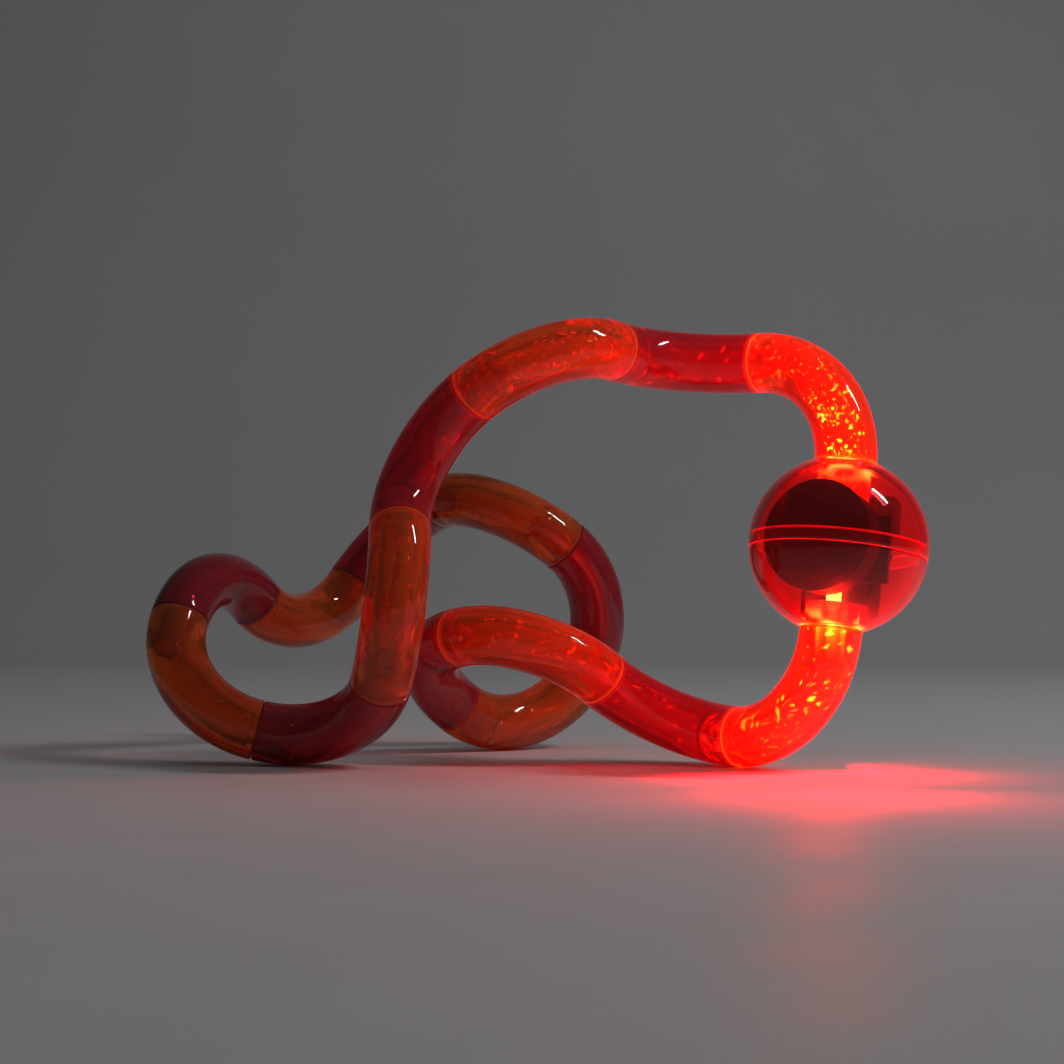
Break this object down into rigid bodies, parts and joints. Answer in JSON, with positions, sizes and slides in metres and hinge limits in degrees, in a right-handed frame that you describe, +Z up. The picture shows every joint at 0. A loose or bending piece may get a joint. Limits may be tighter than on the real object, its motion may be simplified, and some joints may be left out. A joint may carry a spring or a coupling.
{
  "type": "twisty snake puzzle",
  "caption": "Closed loop of translucent quarter-circle tubes that turn on each other, with a hollow light-up ball in the loop.",
  "frame": {"origin": "middle of the bounding box on the level surface that the loop stands on", "axes": "+X from the twisted end towards the ball, the longest way; +Y away from the front; +Z up"},
  "size_m": [0.163, 0.1068, 0.0936],
  "materials": {
    "amber_tube": "clear orange-amber, polished outside, rippled inside",
    "crimson_tube": "clear crimson, polished outside, rippled inside",
    "ball_shell": "clear red, polished",
    "dark_plastic": "moulded, fine grain",
    "screw_steel": "bright",
    "cell_steel": "satin",
    "contact_brass": "plain",
    "board": "glass fibre board with solder resist",
    "board_parts": "moulded",
    "switch": "moulded",
    "lamp": "clear dome, lit"
  },
  "bodies": {
    "tube_01": {"tube_01": "amber_tube"},
    "tube_02": {"tube_02": "crimson_tube"},
    "tube_03": {"tube_03": "amber_tube"},
    "tube_04": {"tube_04": "crimson_tube"},
    "tube_05": {"tube_05": "amber_tube"},
    "tube_06": {"tube_06": "crimson_tube"},
    "tube_07": {"tube_07": "amber_tube"},
    "tube_08": {"tube_08": "crimson_tube"},
    "tube_09": {"tube_09": "amber_tube"},
    "tube_10": {"tube_10": "crimson_tube"},
    "tube_11": {"tube_11": "amber_tube"},
    "tube_12": {"tube_12": "crimson_tube"},
    "tube_13": {"tube_13": "amber_tube"},
    "tube_14": {"tube_14": "crimson_tube"},
    "tube_15": {"tube_15": "amber_tube"},
    "tube_16": {"tube_16": "crimson_tube"},
    "tube_17": {"tube_17": "amber_tube"},
    "ball": {"ball_upper_shell": "ball_shell", "ball_lower_shell": "ball_shell", "battery_cup": "dark_plastic", "battery_cap": "dark_plastic", "front_cell": "cell_steel", "rear_cell": "cell_steel", "leaf_contact": "contact_brass", "rear_contact": "contact_brass", "circuit_board": "board", "board_parts": "board_parts", "board_screws": "screw_steel", "shake_switch": "switch", "chassis": "dark_plastic", "upper_light": "lamp", "lower_light": "lamp"}
  },
  "joints": [
    {"name": "ball_spin", "type": "hinge", "parent": "tube_01", "child": "ball", "pos_m": [0.06327, -0.03519, 0.04604], "axis": [0.1068, 0.1278, 0.986], "continuous": true},
    {"name": "pivot_01", "type": "hinge", "parent": "tube_02", "child": "tube_01", "pos_m": [0.04952, -0.0166, 0.08517], "axis": [0.7986, -0.6018, -0.0085], "range_deg": [-24, 24]},
    {"name": "pivot_02", "type": "hinge", "parent": "tube_03", "child": "tube_02", "pos_m": [0.01806, -0.02098, 0.08717], "axis": [0.5993, 0.7965, -0.0801], "range_deg": [-40, 40]},
    {"name": "main_fold", "type": "hinge", "parent": "tube_03", "child": "tube_04", "pos_m": [-0.01124, -0.02819, 0.07709], "axis": [-0.7032, 0.476, -0.5281], "range_deg": [-55, 55]},
    {"name": "pivot_04", "type": "hinge", "parent": "tube_04", "child": "tube_05", "pos_m": [-0.02589, -0.03338, 0.04932], "axis": [0.0521, -0.7063, -0.706], "range_deg": [-2, 2]},
    {"name": "pivot_05", "type": "hinge", "parent": "tube_05", "child": "tube_06", "pos_m": [-0.02957, -0.03391, 0.01772], "axis": [-0.2157, 0.6823, -0.6985], "range_deg": [-12, 12]},
    {"name": "pivot_06", "type": "hinge", "parent": "tube_06", "child": "tube_07", "pos_m": [-0.05626, -0.02016, 0.00718], "axis": [-0.9705, -0.0711, 0.2303], "range_deg": [-41, 41]},
    {"name": "pivot_07", "type": "hinge", "parent": "tube_07", "child": "tube_08", "pos_m": [-0.07494, -0.00805, 0.02992], "axis": [0.1406, 0.6094, 0.7803], "range_deg": [-6, 6]},
    {"name": "pivot_08", "type": "hinge", "parent": "tube_08", "child": "tube_09", "pos_m": [-0.0624, 0.02093, 0.03386], "axis": [0.4169, 0.6784, -0.605], "range_deg": [-43, 43]},
    {"name": "pivot_09", "type": "hinge", "parent": "tube_09", "child": "tube_10", "pos_m": [-0.04209, 0.04511, 0.03778], "axis": [0.4858, 0.3963, 0.7791], "range_deg": [-11, 11]},
    {"name": "pivot_10", "type": "hinge", "parent": "tube_10", "child": "tube_11", "pos_m": [-0.01947, 0.03495, 0.05773], "axis": [0.5192, -0.8479, 0.1075], "range_deg": [-15, 15]},
    {"name": "pivot_11", "type": "hinge", "parent": "tube_11", "child": "tube_12", "pos_m": [0.00859, 0.02426, 0.0472], "axis": [0.728, 0.3728, -0.5754], "range_deg": [-31, 31]},
    {"name": "pivot_12", "type": "hinge", "parent": "tube_12", "child": "tube_13", "pos_m": [0.01222, 0.02938, 0.01601], "axis": [-0.5667, -0.1453, -0.811], "range_deg": [-12, 12]},
    {"name": "pivot_13", "type": "hinge", "parent": "tube_13", "child": "tube_14", "pos_m": [-0.01533, 0.01456, 0.01017], "axis": [-0.6577, -0.5132, 0.5515], "range_deg": [-38, 38]},
    {"name": "pivot_14", "type": "hinge", "parent": "tube_14", "child": "tube_15", "pos_m": [-0.01453, -0.01271, 0.02655], "axis": [0.6932, -0.6988, 0.1765], "range_deg": [-15, 15]},
    {"name": "pivot_15", "type": "hinge", "parent": "tube_15", "child": "tube_16", "pos_m": [0.01585, -0.0169, 0.01808], "axis": [0.6573, 0.5125, -0.5526], "range_deg": [-49, 49]},
    {"name": "pivot_16", "type": "hinge", "parent": "tube_16", "child": "tube_17", "pos_m": [0.04484, -0.0228, 0.00637], "axis": [0.6312, -0.775, 0.032], "range_deg": [-18, 18]}
  ],
  "couplings": [
    {"joint": "pivot_01", "follows": "main_fold", "ratio": -0.415},
    {"joint": "pivot_02", "follows": "main_fold", "ratio": -0.706},
    {"joint": "pivot_04", "follows": "main_fold", "ratio": 0.0179},
    {"joint": "pivot_05", "follows": "main_fold", "ratio": -0.1972},
    {"joint": "pivot_06", "follows": "main_fold", "ratio": -0.7233},
    {"joint": "pivot_07", "follows": "main_fold", "ratio": -0.0828},
    {"joint": "pivot_08", "follows": "main_fold", "ratio": -0.7581},
    {"joint": "pivot_09", "follows": "main_fold", "ratio": 0.1757},
    {"joint": "pivot_10", "follows": "main_fold", "ratio": -0.2466},
    {"joint": "pivot_11", "follows": "main_fold", "ratio": -0.5394},
    {"joint": "pivot_12", "follows": "main_fold", "ratio": -0.1938},
    {"joint": "pivot_13", "follows": "main_fold", "ratio": -0.6751},
    {"joint": "pivot_14", "follows": "main_fold", "ratio": -0.2526},
    {"joint": "pivot_15", "follows": "main_fold", "ratio": -0.881},
    {"joint": "pivot_16", "follows": "main_fold", "ratio": 0.3103}
  ]
}
